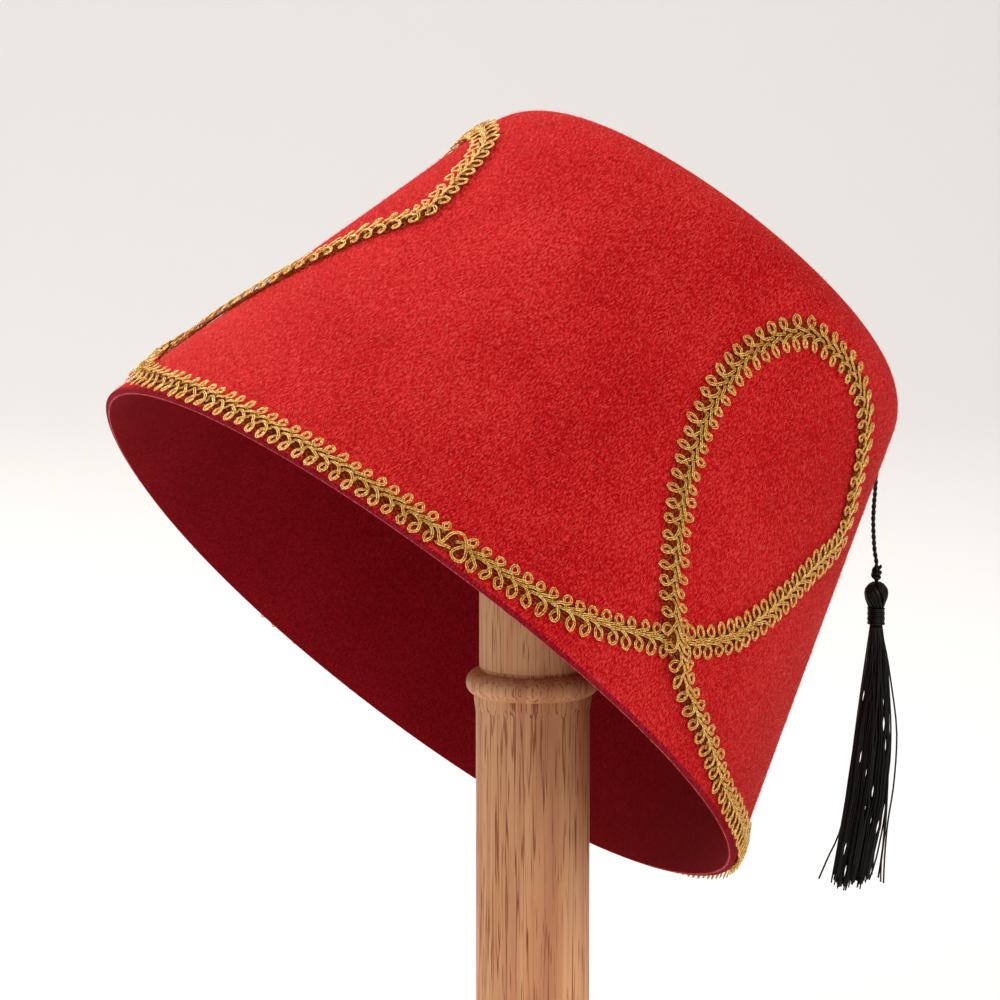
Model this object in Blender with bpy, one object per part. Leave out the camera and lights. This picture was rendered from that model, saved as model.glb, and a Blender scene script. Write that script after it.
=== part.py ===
# Fez of red felt with a looped gold braid and a black tassel, leaning on a plain turned wooden stand.
# Metres, +Z up. The origin is the middle of the stand's foot, on the surface that it stands on.
# The hat leans towards +X. Its own frame has the rim at height 0 and its axis out of the top.
import math

import bmesh
import bpy
from mathutils import Matrix, Vector

# Felt crown
RIM_RADIUS = 0.0950
TOP_RADIUS = 0.0562
CROWN_HEIGHT = 0.1162
TOP_RISE = 0.0020
SHOULDER_RADIUS = 0.0154
FELT_WALL = 0.0023
HEAD_OVAL = 0.0065
HEAD_OVAL_TURN = math.radians(64)
SOFT_CORNERS = 0.0023
SOFT_CORNERS_TURN = math.radians(57)
LEAN = math.radians(42.5)

# Gold braid
BRAID_WIDTH = 0.0077
BRAID_THICKNESS = 0.0012
BRAID_RIM_MARGIN = 0.0004
LOOP_BELOW_TOP = 0.0136
CROSSING_FLAT = 0.0052
CROSSING_RAMP = 0.0060

# Tassel cord, with the button that it starts from and the knot that it ends in
CORD_DIAMETER = 0.0011
CORD_POINT_SPACING = 0.0027
BUTTON_RADIUS = 0.0060
BUTTON_EDGE = 0.0018
BUTTON_RISE = 0.0016
KNOT_RADIUS = 0.0013
KNOT_HEIGHT = 0.0033

# Tassel
HEAD_RADIUS = 0.0028
HEAD_HEIGHT = 0.0062
NECK_RADIUS = 0.0020
NECK_HEIGHT = 0.0038
SKIRT_LENGTH = 0.0640
SKIRT_RADIUS = 0.0051
SKIRT_SWAY = 0.0061
SWAY_TURN = math.radians(151.6)
LOCK_COUNT = 9
LOCK_RING_SHARE = 0.62
LOCK_THICKNESS_SHARE = 0.38
CORE_THICKNESS_SHARE = 0.45
LOCK_RAGGED = 0.0045
RAGGED_TURN = 2.4

# Stand
STAND_HEIGHT = 0.3000
POST_RADIUS = 0.0132
NECKED_RADIUS = 0.0124
RING_RADIUS = 0.0155
RING_HEIGHT = 0.0058
RING_BELOW_TOP = 0.1270
RING_LIP = 0.0004
RING_LIP_HEIGHT = 0.0014
BASE_RADIUS = 0.0650
BASE_HEIGHT = 0.0160
BASE_EDGE_RADIUS = 0.0050
TENON_RADIUS = 0.0080
TENON_LENGTH = 0.0100
SEAT_BELOW_SHOULDER = 0.0049

# Clearance left between pieces that touch, and steps of round shapes
GAP = 0.0003
CROWN_SIDES = 72
SIDE_STEPS = 4
SHOULDER_STEPS = 6
TOP_STEPS = 3
ROUTE_STEPS = 10
BRAID_STEP = 0.0050
POST_SIDES = 40
BASE_SIDES = 48
ARC_STEPS = 4
SMALL_SIDES = 16
TUBE_RESOLUTION = 2
MERGE_DISTANCE = 1e-6
SLOPE_STEP = 1e-4

# The loops as they lie round the hat. turn: degrees from the lean. width: share of the route's width.
# bow: degrees that a loop's rising stretch bends onward, halfway up.
BRAID_LOOPS = (
    {"turn": -89.2, "width": 1.0, "bow": 0.0},
    {"turn": 31.5, "width": 1.0, "bow": 0.0},
    {"turn": 152.5, "width": 1.1, "bow": 3.0},
)

# Route of the braid's middle through one loop, as it runs round the rim with the turn.
# turn: share of an even loop's sector, from the crossing. up: share of the way from the rim band to the
# loop's top. over: 1 where the braid passes over its own earlier stretch.
BRAID_ROUTE = (
    {"turn": -0.375, "up": -0.005, "over": 0},
    {"turn": -0.220, "up": 0.006, "over": 0},
    {"turn": -0.115, "up": 0.045, "over": 0},
    {"turn": -0.003, "up": 0.150, "over": 0},
    {"turn": 0.084, "up": 0.274, "over": 0},
    {"turn": 0.149, "up": 0.426, "over": 0},
    {"turn": 0.207, "up": 0.568, "over": 0},
    {"turn": 0.267, "up": 0.682, "over": 0},
    {"turn": 0.254, "up": 0.796, "over": 0},
    {"turn": 0.209, "up": 0.925, "over": 0},
    {"turn": 0.127, "up": 0.982, "over": 0},
    {"turn": 0.047, "up": 0.989, "over": 0},
    {"turn": -0.028, "up": 0.960, "over": 0},
    {"turn": -0.081, "up": 0.865, "over": 0},
    {"turn": -0.105, "up": 0.744, "over": 0},
    {"turn": -0.103, "up": 0.610, "over": 0},
    {"turn": -0.080, "up": 0.452, "over": 0},
    {"turn": -0.043, "up": 0.302, "over": 0},
    {"turn": -0.001, "up": 0.158, "over": 1},
    {"turn": 0.060, "up": 0.085, "over": 0},
    {"turn": 0.135, "up": 0.034, "over": 0},
    {"turn": 0.230, "up": -0.006, "over": 0},
)

# Route of the tassel cord: over the felt from the button, round the shoulder, then straight down.
CORD_ROUTE = (
    (0.0543, -0.0011, 0.2684),
    (0.0569, -0.0018, 0.2660),
    (0.0604, -0.0029, 0.2626),
    (0.0653, -0.0044, 0.2578),
    (0.0701, -0.0059, 0.2529),
    (0.0749, -0.0073, 0.2480),
    (0.0796, -0.0088, 0.2430),
    (0.0828, -0.0098, 0.2394),
    (0.0842, -0.0104, 0.2371),
    (0.0852, -0.0109, 0.2345),
    (0.0857, -0.0114, 0.2318),
    (0.0858, -0.0117, 0.2297),
    (0.0857, -0.0116, 0.2220),
    (0.0854, -0.0114, 0.2140),
    (0.0850, -0.0112, 0.2060),
    (0.0853, -0.0114, 0.1990),
    (0.0857, -0.0117, 0.1951),
)

# Skirt of the tassel. down: share of its length. spread: share of its radius. sway: share of its sway.
SKIRT_SECTIONS = (
    {"down": 0.00, "spread": 0.34, "sway": 0.00},
    {"down": 0.10, "spread": 0.48, "sway": 0.00},
    {"down": 0.25, "spread": 0.72, "sway": 0.02},
    {"down": 0.45, "spread": 0.90, "sway": 0.08},
    {"down": 0.65, "spread": 1.00, "sway": 0.24},
    {"down": 0.85, "spread": 0.98, "sway": 0.64},
    {"down": 1.00, "spread": 0.88, "sway": 1.00},
)


def remove_all_objects():
    for obj in list(bpy.data.objects):
        bpy.data.objects.remove(obj, do_unlink=True)


def material(name, color, roughness, metallic=0.0):
    made = bpy.data.materials.new(name)
    made.use_nodes = True
    shader = made.node_tree.nodes["Principled BSDF"]
    shader.inputs["Base Color"].default_value = (*color, 1.0)
    shader.inputs["Roughness"].default_value = roughness
    shader.inputs["Metallic"].default_value = metallic
    return made


def red_felt():
    return material("red_felt", (0.60, 0.012, 0.016), 0.95)


def gold_gimp():
    return material("gold_gimp", (0.62, 0.38, 0.05), 0.45, 0.3)


def black_thread():
    return material("black_thread", (0.010, 0.010, 0.011), 0.5)


def turned_wood():
    return material("turned_wood", (0.40, 0.24, 0.13), 0.6)


def add_object(name, data, finish, parent=None):
    obj = bpy.data.objects.new(name, data)
    bpy.context.scene.collection.objects.link(obj)
    data.materials.append(finish)
    obj.parent = parent
    return obj


def finished_mesh(name, bm, sharp_angle=math.radians(40)):
    bmesh.ops.recalc_face_normals(bm, faces=bm.faces)
    mesh = bpy.data.meshes.new(name)
    bm.to_mesh(mesh)
    bm.free()
    mesh.shade_smooth()
    mesh.set_sharp_from_angle(angle=sharp_angle)
    return mesh


def turned(outline, sides):
    # Turns an outline of (radius, height) pairs about Z. Its ends lie on the axis.
    bm = bmesh.new()
    verts = [bm.verts.new((radius, 0, height)) for radius, height in outline]
    edges = [bm.edges.new(pair) for pair in zip(verts, verts[1:])]
    bmesh.ops.spin(
        bm, geom=verts + edges, cent=(0, 0, 0), axis=(0, 0, 1), angle=math.tau, steps=sides, use_merge=True
    )
    bmesh.ops.remove_doubles(bm, verts=bm.verts, dist=MERGE_DISTANCE)
    return bm


def arc(centre, radius, start, end, steps):
    # Points of an arc in (radius, height), its angles measured from the outward direction.
    angles = [start + (end - start) * step / steps for step in range(steps + 1)]
    return [(centre[0] + radius * math.cos(a), centre[1] + radius * math.sin(a)) for a in angles]


# Crown: a straight tapered side, a round shoulder and a slightly domed top, all tangent
SIDE_SLOPE = math.atan2(RIM_RADIUS - TOP_RADIUS, CROWN_HEIGHT)
SHOULDER_CENTRE = (
    TOP_RADIUS + SHOULDER_RADIUS * (math.tan(SIDE_SLOPE) - 1 / math.cos(SIDE_SLOPE)),
    CROWN_HEIGHT - SHOULDER_RADIUS,
)
SIDE_LENGTH = (SHOULDER_CENTRE[1] + SHOULDER_RADIUS * math.sin(SIDE_SLOPE)) / math.cos(SIDE_SLOPE)
TOP_ANGLE = 2 * math.atan(TOP_RISE / SHOULDER_CENTRE[0])
TOP_ARC_RADIUS = SHOULDER_RADIUS + SHOULDER_CENTRE[0] / math.sin(TOP_ANGLE)
SHOULDER_LENGTH = SHOULDER_RADIUS * (math.pi / 2 - TOP_ANGLE - SIDE_SLOPE)
TOP_LENGTH = TOP_ARC_RADIUS * TOP_ANGLE


def crown_outline_point(up):
    # Radius and height of the outer side at a distance up it from the rim.
    if up <= SIDE_LENGTH:
        return RIM_RADIUS - up * math.sin(SIDE_SLOPE), up * math.cos(SIDE_SLOPE)
    if up <= SIDE_LENGTH + SHOULDER_LENGTH:
        angle = SIDE_SLOPE + (up - SIDE_LENGTH) / SHOULDER_RADIUS
        return (
            SHOULDER_CENTRE[0] + SHOULDER_RADIUS * math.cos(angle),
            SHOULDER_CENTRE[1] + SHOULDER_RADIUS * math.sin(angle),
        )
    left = TOP_ANGLE - (up - SIDE_LENGTH - SHOULDER_LENGTH) / TOP_ARC_RADIUS
    top_height = CROWN_HEIGHT + TOP_RISE
    return TOP_ARC_RADIUS * math.sin(left), top_height - TOP_ARC_RADIUS * (1 - math.cos(left))


def head_shape(turn, height):
    # How far the felt stands out from round: an oval for the head and soft corners, none at the top.
    oval = HEAD_OVAL * math.cos(2 * (turn - HEAD_OVAL_TURN))
    corners = SOFT_CORNERS * math.cos(3 * (turn - SOFT_CORNERS_TURN))
    return (oval + corners) * max(0, 1 - height / CROWN_HEIGHT)


def crown_point(turn, up):
    radius, height = crown_outline_point(up)
    radius += head_shape(turn, height)
    return Vector((radius * math.cos(turn), radius * math.sin(turn), height))


def crown_slopes(turn, up):
    # Change of the surface point with the turn and with the distance up.
    step = SLOPE_STEP
    along = (crown_point(turn + step, up) - crown_point(turn - step, up)) / (2 * step)
    rise = (crown_point(turn, up + step) - crown_point(turn, up - step)) / (2 * step)
    return along, rise


def crown_normal(turn, up):
    along, rise = crown_slopes(turn, up)
    return along.cross(rise).normalized()


def make_felt_crown(hat):
    lengths = [SIDE_LENGTH * step / SIDE_STEPS for step in range(SIDE_STEPS)]
    lengths += [SIDE_LENGTH + SHOULDER_LENGTH * step / SHOULDER_STEPS for step in range(SHOULDER_STEPS)]
    lengths += [
        SIDE_LENGTH + SHOULDER_LENGTH + TOP_LENGTH * step / TOP_STEPS for step in range(TOP_STEPS + 1)
    ]
    bm = turned([crown_outline_point(up) for up in lengths], CROWN_SIDES)
    for vert in bm.verts:
        radius = vert.co.xy.length
        if radius > GAP:
            turn = math.atan2(vert.co.y, vert.co.x)
            vert.co.xy *= 1 + head_shape(turn, vert.co.z) / radius
    crown = add_object("felt_crown", finished_mesh("felt_crown", bm), red_felt(), hat)
    wall = crown.modifiers.new("felt_wall", "SOLIDIFY")
    wall.thickness = FELT_WALL
    wall.offset = -1
    wall.use_even_offset = True
    return crown


def smooth_between(before, start, end, after, share):
    # Catmull-Rom curve from start to end, with the points on either side.
    return 0.5 * (
        2 * start
        + (end - before) * share
        + (2 * before - 5 * start + 4 * end - after) * share**2
        + (3 * start - before - 3 * end + after) * share**3
    )


def braid_middle():
    # The closed route through every loop as (turn, up) pairs, and the places where it passes over.
    band_up = (BRAID_WIDTH / 2 + BRAID_RIM_MARGIN) / math.cos(SIDE_SLOPE)
    loop_up = (CROWN_HEIGHT - LOOP_BELOW_TOP) / math.cos(SIDE_SLOPE)
    sector = math.tau / len(BRAID_LOOPS)
    highest = max(range(len(BRAID_ROUTE)), key=lambda index: BRAID_ROUTE[index]["up"])
    rows = []
    for loop in BRAID_LOOPS:
        for index, row in enumerate(BRAID_ROUTE):
            width = 1 + (loop["width"] - 1) * row["up"]
            bow = loop["bow"] * math.sin(math.pi * max(0, row["up"])) if index < highest else 0
            turn = math.radians(loop["turn"] + bow) + row["turn"] * width * sector
            up = band_up + row["up"] * (loop_up - band_up)
            rows.append((Vector((turn, up)), row["over"]))
    whole_turn = Vector((math.tau, 0))
    last = len(rows)
    middle = []
    crossings = []
    for index, (start, over) in enumerate(rows):
        before = rows[index - 1][0] - (whole_turn if index == 0 else Vector((0, 0)))
        end = rows[(index + 1) % last][0] + (whole_turn if index + 1 >= last else Vector((0, 0)))
        after = rows[(index + 2) % last][0] + (whole_turn if index + 2 >= last else Vector((0, 0)))
        if over:
            crossings.append(len(middle))
        for step in range(ROUTE_STEPS):
            middle.append(smooth_between(before, start, end, after, step / ROUTE_STEPS))
    return middle, crossings


def braid_lengths(middle):
    # Distance along the braid to each point of its middle, and its whole length.
    points = [crown_point(*pair) for pair in middle]
    lengths = [0.0]
    for start, end in zip(points, points[1:] + points[:1]):
        lengths.append(lengths[-1] + (end - start).length)
    return lengths[:-1], lengths[-1]


def crossing_lift(place, crossings, whole):
    # Height of the braid over the felt: it steps up over itself at a crossing and comes down again.
    nearest = min(abs((place - crossing + whole / 2) % whole - whole / 2) for crossing in crossings)
    share = min(1, max(0, 1 - (nearest - CROSSING_FLAT) / CROSSING_RAMP))
    return GAP + (BRAID_THICKNESS + GAP) * share * share * (3 - 2 * share)


def braid_sections():
    # Rows of three points across the braid's back: its two edges and its middle.
    middle, crossing_indexes = braid_middle()
    lengths, whole = braid_lengths(middle)
    crossings = [lengths[index] for index in crossing_indexes]
    count = round(whole / BRAID_STEP)
    places = middle + [middle[0] + Vector((math.tau, 0))]
    marks = lengths + [whole]
    sections = []
    index = 0
    for section in range(count):
        place = whole * section / count
        while marks[index + 1] < place:
            index += 1
        share = (place - marks[index]) / (marks[index + 1] - marks[index])
        turn, up = places[index].lerp(places[index + 1], share)
        change = places[index + 1] - places[index]
        along, rise = crown_slopes(turn, up)
        forward = (along * change.x + rise * change.y).normalized()
        across = along.cross(rise).normalized().cross(forward)
        lift = crossing_lift(place, crossings, whole)
        row = []
        for side in (-0.5, 0.0, 0.5):
            offset = across * (side * BRAID_WIDTH)
            side_turn = turn + offset.dot(along) / along.length_squared
            side_up = up + offset.dot(rise) / rise.length_squared
            row.append(crown_point(side_turn, side_up) + crown_normal(side_turn, side_up) * lift)
        sections.append(row)
    return sections


def make_gold_braid(hat):
    sections = braid_sections()
    bm = bmesh.new()
    first = [bm.verts.new(point) for point in sections[0]]
    edges = [bm.edges.new(pair) for pair in zip(first, first[1:])]
    row = first
    for section in sections[1:]:
        grown = bmesh.ops.extrude_edge_only(bm, edges=edges)["geom"]
        edges = [item for item in grown if isinstance(item, bmesh.types.BMEdge)]
        edges = [edge for edge in edges if not set(edge.verts) & set(row)]
        new_row = [next(v for e in old.link_edges for v in e.verts if v in grown) for old in row]
        for vert, point in zip(new_row, section):
            vert.co = point
        row = new_row
    bmesh.ops.bridge_loops(bm, edges=edges + [bm.edges.get(pair) for pair in zip(first, first[1:])])
    mesh = finished_mesh("gold_braid", bm)
    braid = add_object("gold_braid", mesh, gold_gimp(), hat)
    body = braid.modifiers.new("braid_body", "SOLIDIFY")
    body.thickness = BRAID_THICKNESS
    body.offset = 1
    return braid


def make_cord_button(hat):
    foot = CROWN_HEIGHT + TOP_RISE + GAP
    dome = arc((0, 0), 1, 0, math.pi / 2, ARC_STEPS)
    outline = [(0, foot), (BUTTON_RADIUS, foot)]
    outline += [(BUTTON_RADIUS * x, foot + BUTTON_EDGE + BUTTON_RISE * y) for x, y in dome[:-1]]
    outline += [(0, foot + BUTTON_EDGE + BUTTON_RISE)]
    mesh = finished_mesh("cord_button", turned(outline, 2 * SMALL_SIDES))
    return add_object("cord_button", mesh, black_thread(), hat)


def smooth_points(route, spacing):
    # Points about one spacing apart on the smooth open curve through the route.
    points = [Vector(point) for point in route]
    points = [2 * points[0] - points[1]] + points + [2 * points[-1] - points[-2]]
    found = []
    for before, start, end, after in zip(points, points[1:], points[2:], points[3:]):
        steps = max(1, round((end - start).length / spacing))
        found += [smooth_between(before, start, end, after, step / steps) for step in range(steps)]
    return found + [points[-2]]


def tube(name, points, radii):
    curve = bpy.data.curves.new(name, "CURVE")
    curve.dimensions = "3D"
    curve.bevel_depth = 1.0
    curve.bevel_resolution = TUBE_RESOLUTION
    curve.use_fill_caps = True
    spline = curve.splines.new("POLY")
    spline.points.add(len(points) - 1)
    for item, point, radius in zip(spline.points, points, radii):
        item.co = (*point, 1)
        item.radius = radius
    return curve


def make_tassel_cord():
    points = smooth_points(CORD_ROUTE, CORD_POINT_SPACING)
    curve = tube("tassel_cord", points, [CORD_DIAMETER / 2] * len(points))
    return add_object("tassel_cord", curve, black_thread())


def make_tassel_knot():
    ball = arc((0, 0), 1, -math.pi / 2, math.pi / 2, 2 * ARC_STEPS)
    outline = [(0, -KNOT_HEIGHT)]
    outline += [(KNOT_RADIUS * x, KNOT_HEIGHT / 2 * (y - 1)) for x, y in ball[1:-1]]
    outline += [(0, 0)]
    mesh = finished_mesh("tassel_knot", turned(outline, SMALL_SIDES))
    knot = add_object("tassel_knot", mesh, black_thread())
    knot.location = Vector(CORD_ROUTE[-1]) - Vector((0, 0, GAP))
    return knot


def skirt_point(section, turn, radius, length):
    # A point of the skirt at a section of the table, below the skirt's top.
    sway = section["sway"] * SKIRT_SWAY
    return Vector(
        (
            sway * math.cos(SWAY_TURN) + radius * math.cos(turn),
            sway * math.sin(SWAY_TURN) + radius * math.sin(turn),
            -HEAD_HEIGHT - NECK_HEIGHT - section["down"] * length,
        )
    )


def tassel_lock(index, turn, ring_share, lock_share, length):
    # One tapered lock of threads, in a hidden object that the tassel is joined with.
    points = []
    radii = []
    for section in SKIRT_SECTIONS:
        spread = section["spread"] * SKIRT_RADIUS
        points.append(skirt_point(section, turn, spread * ring_share, length))
        radii.append(spread * lock_share)
    points.insert(0, points[0] + Vector((0, 0, NECK_HEIGHT / 2)))
    radii.insert(0, radii[0])
    name = f"lock_{index}"
    guide = bpy.data.objects.new(name + "_line", tube(name, points, radii))
    mesh = bpy.data.meshes.new_from_object(guide)
    bpy.data.objects.remove(guide)
    bm = bmesh.new()
    bm.from_mesh(mesh)
    bmesh.ops.remove_doubles(bm, verts=bm.verts, dist=MERGE_DISTANCE)
    bmesh.ops.recalc_face_normals(bm, faces=bm.faces)
    bm.to_mesh(mesh)
    bm.free()
    lock = bpy.data.objects.new(name, mesh)
    bpy.context.scene.collection.objects.link(lock)
    lock.hide_render = True
    lock.display_type = "WIRE"
    return lock


def make_tassel(knot):
    # A round head, a bound neck and a skirt of locks, all one body.
    bulb = arc((0, 0), 1, math.pi / 2, -math.pi / 4, 2 * ARC_STEPS - 2)
    neck_bottom = -HEAD_HEIGHT - NECK_HEIGHT
    outline = [(0, 0)]
    outline += [(HEAD_RADIUS * x, HEAD_HEIGHT / 2 * (y - 1)) for x, y in bulb[1:]]
    outline += [(NECK_RADIUS, -HEAD_HEIGHT), (NECK_RADIUS, neck_bottom), (0, neck_bottom)]
    mesh = finished_mesh("tassel", turned(outline, SMALL_SIDES))
    tassel = add_object("tassel", mesh, black_thread())
    tassel.location = knot.location - Vector((0, 0, KNOT_HEIGHT + GAP))
    locks = [tassel_lock(LOCK_COUNT, 0, 0, CORE_THICKNESS_SHARE, SKIRT_LENGTH)]
    for index in range(LOCK_COUNT):
        turn = math.tau * index / LOCK_COUNT
        length = SKIRT_LENGTH - LOCK_RAGGED * (1 + math.sin(index * RAGGED_TURN)) / 2
        locks.append(tassel_lock(index, turn, LOCK_RING_SHARE, LOCK_THICKNESS_SHARE, length))
    for lock in locks:
        lock.parent = tassel
        join = tassel.modifiers.new(lock.name, "BOOLEAN")
        join.operation = "UNION"
        join.solver = "EXACT"
        join.object = lock
    return tassel


def make_stand_post():
    # Domed top, necked shaft, round ring with a small lip under it, lower shaft and tenon.
    foot = BASE_HEIGHT + GAP
    ring_middle = STAND_HEIGHT - RING_BELOW_TOP
    ring_top = ring_middle + RING_HEIGHT / 2
    ring_bottom = ring_middle - RING_HEIGHT / 2
    lip_radius = POST_RADIUS + RING_LIP
    lip_bottom = ring_bottom - RING_LIP_HEIGHT
    bead_radius = RING_HEIGHT / 2
    outline = [(0, foot - TENON_LENGTH), (TENON_RADIUS, foot - TENON_LENGTH), (TENON_RADIUS, foot)]
    outline += [(POST_RADIUS, foot), (POST_RADIUS, lip_bottom - RING_LIP)]
    outline += [(lip_radius, lip_bottom), (lip_radius, ring_bottom)]
    bead_centre = (RING_RADIUS - bead_radius, ring_middle)
    outline += arc(bead_centre, bead_radius, -math.pi / 2, math.pi / 2, 2 * ARC_STEPS)
    outline += [(NECKED_RADIUS, ring_top)]
    dome_centre = (0, STAND_HEIGHT - NECKED_RADIUS)
    outline += arc(dome_centre, NECKED_RADIUS, 0, math.pi / 2, 2 * ARC_STEPS)
    outline[-1] = (0, STAND_HEIGHT)
    mesh = finished_mesh("stand_post", turned(outline, POST_SIDES))
    return add_object("stand_post", mesh, turned_wood())


def make_stand_base():
    # A round foot with an eased upper edge and a blind socket for the post's tenon.
    socket_radius = TENON_RADIUS + GAP
    socket_floor = BASE_HEIGHT - TENON_LENGTH
    edge_centre = (BASE_RADIUS - BASE_EDGE_RADIUS, BASE_HEIGHT - BASE_EDGE_RADIUS)
    outline = [(0, 0), (BASE_RADIUS, 0)]
    outline += arc(edge_centre, BASE_EDGE_RADIUS, 0, math.pi / 2, ARC_STEPS)
    outline += [(socket_radius, BASE_HEIGHT), (socket_radius, socket_floor), (0, socket_floor)]
    mesh = finished_mesh("stand_base", turned(outline, BASE_SIDES))
    return add_object("stand_base", mesh, turned_wood())


def make_hat_frame():
    # Sets the hat's felt a small gap above the post's domed top, where its side meets the shoulder.
    seat = (math.pi, SIDE_LENGTH - SEAT_BELOW_SHOULDER)
    normal = crown_normal(*seat)
    dome_centre = crown_point(*seat) - normal * (FELT_WALL + GAP + NECKED_RADIUS)
    lean = Matrix.Rotation(LEAN, 4, "Y")
    hat = bpy.data.objects.new("hat_frame", None)
    bpy.context.scene.collection.objects.link(hat)
    hat.rotation_euler = (0, LEAN, 0)
    hat.location = Vector((0, 0, STAND_HEIGHT - NECKED_RADIUS)) - lean @ dome_centre
    return hat


def build():
    remove_all_objects()
    make_stand_base()
    make_stand_post()
    hat = make_hat_frame()
    make_felt_crown(hat)
    make_gold_braid(hat)
    make_cord_button(hat)
    make_tassel_cord()
    knot = make_tassel_knot()
    make_tassel(knot)


build()
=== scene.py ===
import math

import bmesh
import bpy
import numpy as np
from mathutils import Matrix, Vector


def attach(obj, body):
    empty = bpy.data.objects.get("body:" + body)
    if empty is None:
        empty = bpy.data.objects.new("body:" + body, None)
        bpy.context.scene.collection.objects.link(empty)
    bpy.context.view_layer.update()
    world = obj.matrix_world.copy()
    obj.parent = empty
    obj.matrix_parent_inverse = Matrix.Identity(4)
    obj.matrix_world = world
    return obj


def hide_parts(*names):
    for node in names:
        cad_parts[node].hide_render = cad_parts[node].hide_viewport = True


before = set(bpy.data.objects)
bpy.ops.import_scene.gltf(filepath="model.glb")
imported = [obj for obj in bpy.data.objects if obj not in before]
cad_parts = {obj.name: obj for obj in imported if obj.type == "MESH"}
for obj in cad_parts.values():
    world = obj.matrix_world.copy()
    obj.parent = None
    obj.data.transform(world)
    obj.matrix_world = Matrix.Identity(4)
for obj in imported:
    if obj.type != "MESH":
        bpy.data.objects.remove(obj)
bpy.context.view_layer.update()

rootBody = "root"
scene = bpy.context.scene

# Lengths are in metres unless a name or note says mm, colours are sRGB hex


def toLinear(hexText, alpha=1.0):
    parts = [int(hexText[start:start + 2], 16) / 255 for start in (0, 2, 4)]
    return (*[c / 12.92 if c <= 0.04045 else ((c + 0.055) / 1.055) ** 2.4 for c in parts], alpha)


def perMetre(sizeMm):
    # Scale of a pattern whose repeat is this long
    return 1000 / sizeMm


def newMaterial(name):
    made = bpy.data.materials.new(name)
    made.use_nodes = True
    tree = made.node_tree
    return made, tree, tree.nodes["Principled BSDF"]


def addNode(tree, kind, settings=None, inputs=None):
    node = tree.nodes.new("ShaderNode" + kind)
    for key, value in (settings or {}).items():
        setattr(node, key, value)
    for key, value in (inputs or {}).items():
        socket = node.inputs[key]
        if isinstance(value, bpy.types.NodeSocket):
            tree.links.new(value, socket)
        else:
            socket.default_value = value
    return node


def setStops(ramp, stops):
    elements = ramp.color_ramp.elements
    while len(elements) < len(stops):
        elements.new(0.5)
    for element, (place, colour) in zip(elements, stops):
        element.position = place
        element.color = toLinear(colour)
    return ramp.outputs["Color"]


def addPiece(name, mesh, materials, replaced=()):
    piece = bpy.data.objects.new(name, mesh)
    scene.collection.objects.link(piece)
    for material in materials[len(mesh.materials):]:
        mesh.materials.append(material)
    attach(piece, rootBody)
    if replaced:
        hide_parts(*replaced)
    return piece


def meshFrom(bm, name, sharpAngle=40):
    mesh = bpy.data.meshes.new(name)
    bm.to_mesh(mesh)
    bm.free()
    mesh.shade_smooth()
    mesh.set_sharp_from_angle(angle=math.radians(sharpAngle))
    return mesh


def spun(outline, steps):
    # Spins an outline of (radius, height) pairs about Z, its ends on the axis
    bm = bmesh.new()
    verts = [bm.verts.new((radius, 0, height)) for radius, height in outline]
    edges = [bm.edges.new(pair) for pair in zip(verts, verts[1:])]
    bmesh.ops.spin(
        bm, geom=verts + edges, cent=(0, 0, 0), axis=(0, 0, 1), angle=math.tau, steps=steps, use_merge=True
    )
    bmesh.ops.remove_doubles(bm, verts=bm.verts, dist=1e-7)
    bmesh.ops.recalc_face_normals(bm, faces=bm.faces)
    return bm


def arcPoints(centre, radius, start, end, steps):
    angles = np.linspace(start, end, steps + 1)
    return [(centre[0] + radius * math.cos(a), centre[1] + radius * math.sin(a)) for a in angles]


def threadMesh(name, threads, radius, resolution=1, radii=None, kinds=None, materials=()):
    # Round threads along rows of points, as one mesh: curves with a bevel and filled ends.
    # radii holds each thread's shares of the radius, kinds its number among the materials.
    curve = bpy.data.curves.new(name + "Line", "CURVE")
    curve.dimensions = "3D"
    curve.bevel_depth = radius
    curve.bevel_resolution = resolution
    curve.use_fill_caps = True
    for material in materials:
        curve.materials.append(material)
    for index, points in enumerate(threads):
        spline = curve.splines.new("POLY")
        spline.points.add(len(points) - 1)
        rows = np.ones((len(points), 4))
        rows[:, :3] = points
        spline.points.foreach_set("co", rows.ravel())
        if radii is not None and radii[index] is not None:
            spline.points.foreach_set("radius", np.asarray(radii[index], float) * np.ones(len(points)))
        if kinds is not None:
            spline.material_index = kinds[index]
    guide = bpy.data.objects.new(name + "Line", curve)
    mesh = bpy.data.meshes.new_from_object(guide)
    bpy.data.objects.remove(guide)
    bm = bmesh.new()
    bm.from_mesh(mesh)
    bmesh.ops.remove_doubles(bm, verts=bm.verts, dist=1e-7)
    bm.to_mesh(mesh)
    bm.free()
    mesh.name = name
    mesh.shade_smooth()
    return mesh


def curveThrough(points, step):
    # Points about a step apart on the Catmull-Rom curve through the given ones
    points = np.asarray(points, float)
    padded = np.vstack([2 * points[0] - points[1], points, 2 * points[-1] - points[-2]])
    found = []
    for before, start, end, after in zip(padded, padded[1:], padded[2:], padded[3:]):
        count = max(1, round(float(np.linalg.norm(end - start)) / step))
        found.append(between(before, start, end, after, (np.arange(count) / count)[:, None]))
    return np.vstack(found + [points[-1:]])


def between(before, start, end, after, share):
    return 0.5 * (
        2 * start + (end - before) * share + (2 * before - 5 * start + 4 * end - after) * share**2
        + (3 * start - before - 3 * end + after) * share**3)


def unit(rows):
    return rows / np.linalg.norm(rows, axis=-1, keepdims=True)


def unevenness(rng, count, amount, width=5):
    # Smooth random shares around one
    rough = rng.normal(0, 1, count + width)
    return 1 + amount * np.convolve(rough, np.ones(width) / math.sqrt(width), "same")[:count]


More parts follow.
